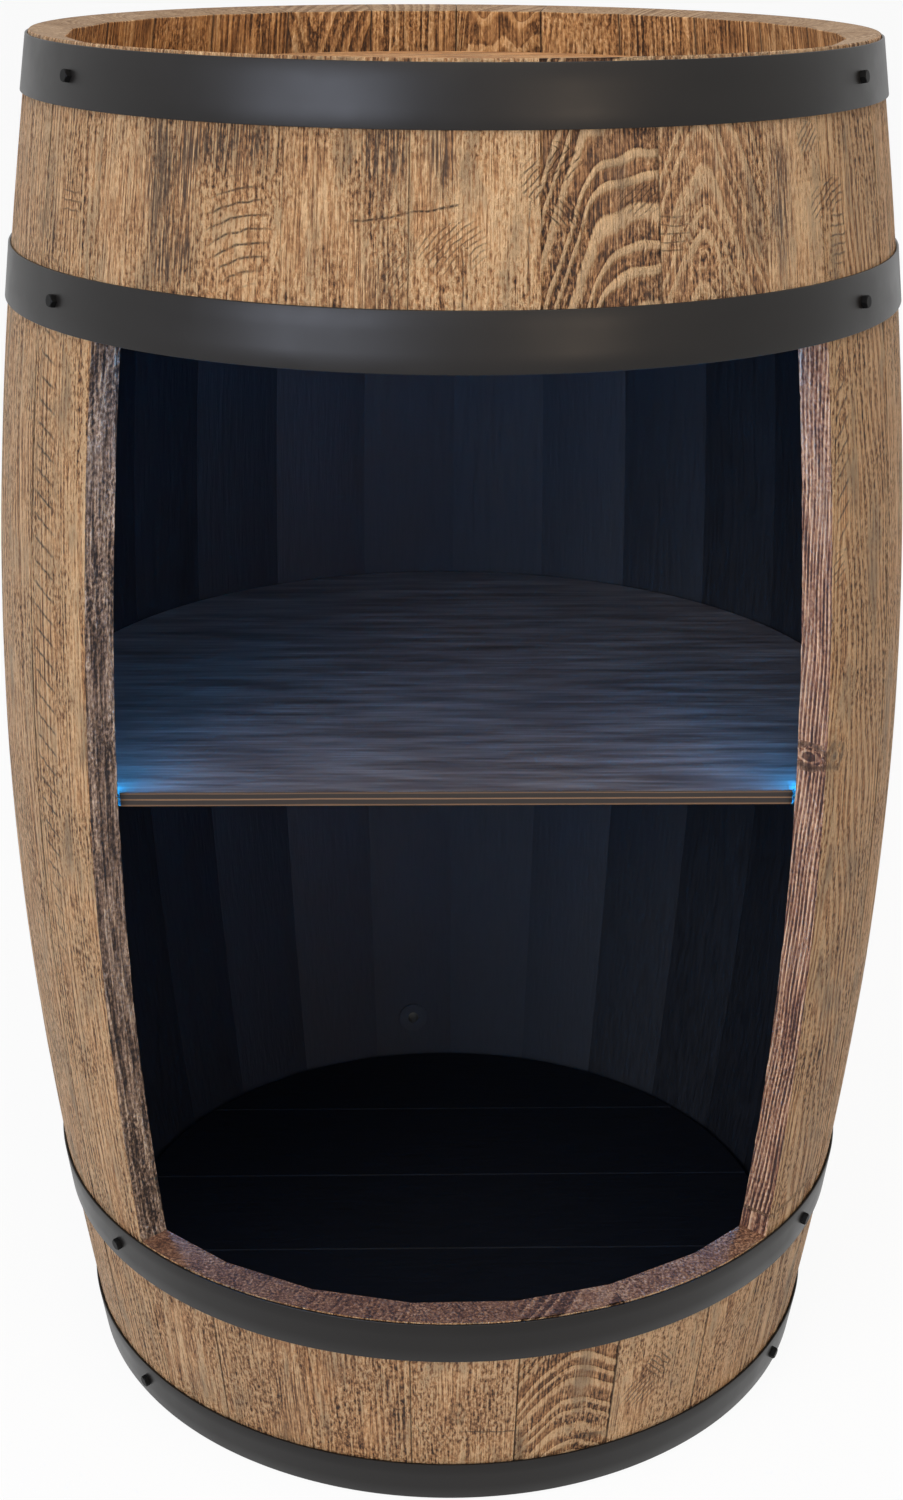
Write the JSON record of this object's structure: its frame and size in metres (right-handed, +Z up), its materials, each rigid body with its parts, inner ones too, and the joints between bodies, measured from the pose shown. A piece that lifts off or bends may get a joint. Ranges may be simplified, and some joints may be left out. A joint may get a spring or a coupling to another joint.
{
  "type": "barrel bar cabinet",
  "caption": "Upright bulging barrel of wooden staves and black steel hoops, open at the front, with a straight-fronted shelf, recessed round heads and a light strip round the opening.",
  "frame": {"origin": "on the floor, under the middle of the overall box; the barrel's axis is parallel to Z and stands 7.84 mm from it towards -Y", "axes": "+Z up along the barrel, -Y out of the open front, +X to the right of a person facing the opening"},
  "size_m": [0.5298, 0.5141, 0.8],
  "materials": {
    "stave_wood": "rough-brushed softwood with a warm brown stain outside, painted black inside the cabinet",
    "hoop_steel": "satin black powder coat on strip steel",
    "black_fasteners": "black oxide steel",
    "top_board_wood": "planed softwood with a warm brown stain",
    "floor_board_wood": "softwood painted satin black",
    "dowel_wood": "bare beech dowel",
    "shelf_plywood": "plywood stained dark brown, with its plies showing at the front edge",
    "cleat_wood": "softwood blocks painted satin black",
    "zinc_screws": "zinc-plated steel",
    "tape_polyimide": "white flexible circuit tape",
    "chip_resin": "clear resin lens over a blue light chip",
    "controller_plastic": "moulded black plastic",
    "eye_resin": "dark infrared-clear resin",
    "lead_sheath": "black PVC sheath",
    "grommet_rubber": "moulded black rubber"
  },
  "bodies": {
    "root": {"stave_01": "stave_wood", "stave_02": "stave_wood", "stave_03": "stave_wood", "stave_04": "stave_wood", "stave_05": "stave_wood", "stave_06": "stave_wood", "stave_07": "stave_wood", "stave_08": "stave_wood", "stave_09": "stave_wood", "stave_10": "stave_wood", "stave_11": "stave_wood", "stave_12": "stave_wood", "stave_13": "stave_wood", "stave_14": "stave_wood", "stave_15": "stave_wood", "stave_16": "stave_wood", "stave_17": "stave_wood", "stave_18": "stave_wood", "header_stave_1": "stave_wood", "header_stave_2": "stave_wood", "header_stave_3": "stave_wood", "header_stave_4": "stave_wood", "header_stave_5": "stave_wood", "header_stave_6": "stave_wood", "header_stave_7": "stave_wood", "apron_stave_1": "stave_wood", "apron_stave_2": "stave_wood", "apron_stave_3": "stave_wood", "apron_stave_4": "stave_wood", "apron_stave_5": "stave_wood", "apron_stave_6": "stave_wood", "apron_stave_7": "stave_wood", "hoop_bottom": "hoop_steel", "hoop_lower": "hoop_steel", "hoop_upper": "hoop_steel", "hoop_top": "hoop_steel", "hoop_screws": "black_fasteners", "hoop_rivets": "black_fasteners", "top_board_1": "top_board_wood", "top_board_2": "top_board_wood", "top_board_3": "top_board_wood", "top_board_4": "top_board_wood", "top_board_5": "top_board_wood", "floor_board_1": "floor_board_wood", "floor_board_2": "floor_board_wood", "floor_board_3": "floor_board_wood", "floor_board_4": "floor_board_wood", "floor_board_5": "floor_board_wood", "head_dowels": "dowel_wood", "shelf": "shelf_plywood", "shelf_cleat_left": "cleat_wood", "shelf_cleat_right": "cleat_wood", "shelf_cleat_back": "cleat_wood", "cleat_screws": "zinc_screws", "light_tape": "tape_polyimide", "light_chips": "chip_resin", "light_controller": "controller_plastic", "receiver_eye": "eye_resin", "light_lead": "lead_sheath", "cable_grommet": "grommet_rubber"}
  },
  "joints": []
}
